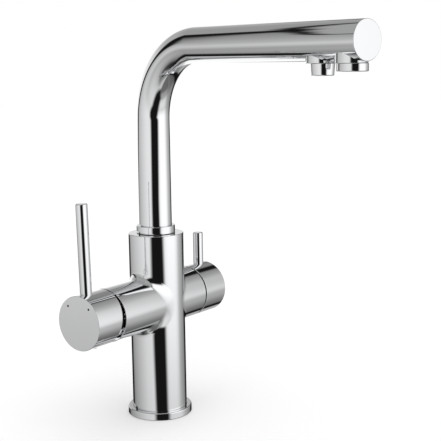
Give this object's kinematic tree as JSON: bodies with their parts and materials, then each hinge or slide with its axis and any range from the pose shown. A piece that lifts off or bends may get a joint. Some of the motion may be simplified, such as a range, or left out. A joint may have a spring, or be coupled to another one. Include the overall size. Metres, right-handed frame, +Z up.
{
  "type": "three way filtered water tap",
  "caption": "Chrome kitchen tap with an L shaped swivel spout, a mixer lever on one side, a short filtered water lever on the other and separate outlets for each water.",
  "frame": {"origin": "centre of the foot on the deck, on the axis of the column and of the fixing shank's thread", "axes": "+Z up along the column; the levers turn about an axis along X, with the mixer towards -X and the filter valve towards +X; straight ahead is -Y, and the spout rests 13.5 degrees from it towards -X"},
  "size_m": [0.167, 0.266, 0.333],
  "materials": {
    "chrome": "polished",
    "brass": "satin",
    "rubber": "matte",
    "cartridge_plastic": "satin",
    "ceramic": "satin",
    "steel": "satin",
    "aerator_plastic": "matte",
    "slip_plastic": "satin",
    "water_tube": "satin",
    "plug": "gloss",
    "index": "gloss"
  },
  "bodies": {
    "base": {"tap_body": "chrome", "base_flange": "chrome", "base_seal": "rubber", "hot_inlet": "brass", "cold_inlet": "brass", "filter_inlet": "brass", "cartridge_housing": "cartridge_plastic", "cartridge_seals": "rubber", "fixed_disc": "ceramic", "cartridge_nut": "brass", "cartridge_cover": "chrome", "filter_valve": "brass", "valve_seal": "rubber", "valve_fixed_disc": "ceramic", "glide_ring": "slip_plastic", "stop_screw": "steel"},
    "spout": {"spout_tube": "chrome", "spout_end_cap": "chrome", "spout_collar": "chrome", "spout_spigot": "brass", "spigot_o_rings": "rubber", "main_outlet_boss": "chrome", "aerator_housing": "chrome", "aerator_insert": "aerator_plastic", "aerator_washer": "rubber", "filter_outlet_boss": "chrome", "filter_nozzle": "chrome", "nozzle_insert": "aerator_plastic", "filter_water_tube": "water_tube"},
    "mixer_hub": {"stem_carrier": "cartridge_plastic", "sliding_disc": "ceramic", "tilt_pin": "steel"},
    "mixer_handle": {"mixer_stem": "steel", "mixer_knob": "chrome", "mixer_lever": "chrome", "mixer_knob_screw": "steel", "screw_plug": "plug", "index_dots": "index"},
    "filter_handle": {"filter_spindle": "brass", "filter_knob": "chrome", "filter_lever": "chrome", "filter_knob_screw": "steel", "valve_turning_disc": "ceramic"}
  },
  "joints": [
    {"name": "spout_swivel", "type": "hinge", "parent": "base", "child": "spout", "pos_m": [0, 0, 0.1605], "axis": [0, 0, 1], "range_deg": [-106.5, 133.5]},
    {"name": "mixer_turn", "type": "hinge", "parent": "base", "child": "mixer_hub", "pos_m": [-0.05, 0, 0.1005], "axis": [1, 0, 0], "range_deg": [-45, 45]},
    {"name": "mixer_lift", "type": "hinge", "parent": "mixer_hub", "child": "mixer_handle", "pos_m": [-0.05, 0, 0.1005], "axis": [0, -1, 0], "range_deg": [0, 25]},
    {"name": "filter_turn", "type": "hinge", "parent": "base", "child": "filter_handle", "pos_m": [0.0405, 0, 0.1005], "axis": [1, 0, 0], "range_deg": [0, 90]}
  ]
}
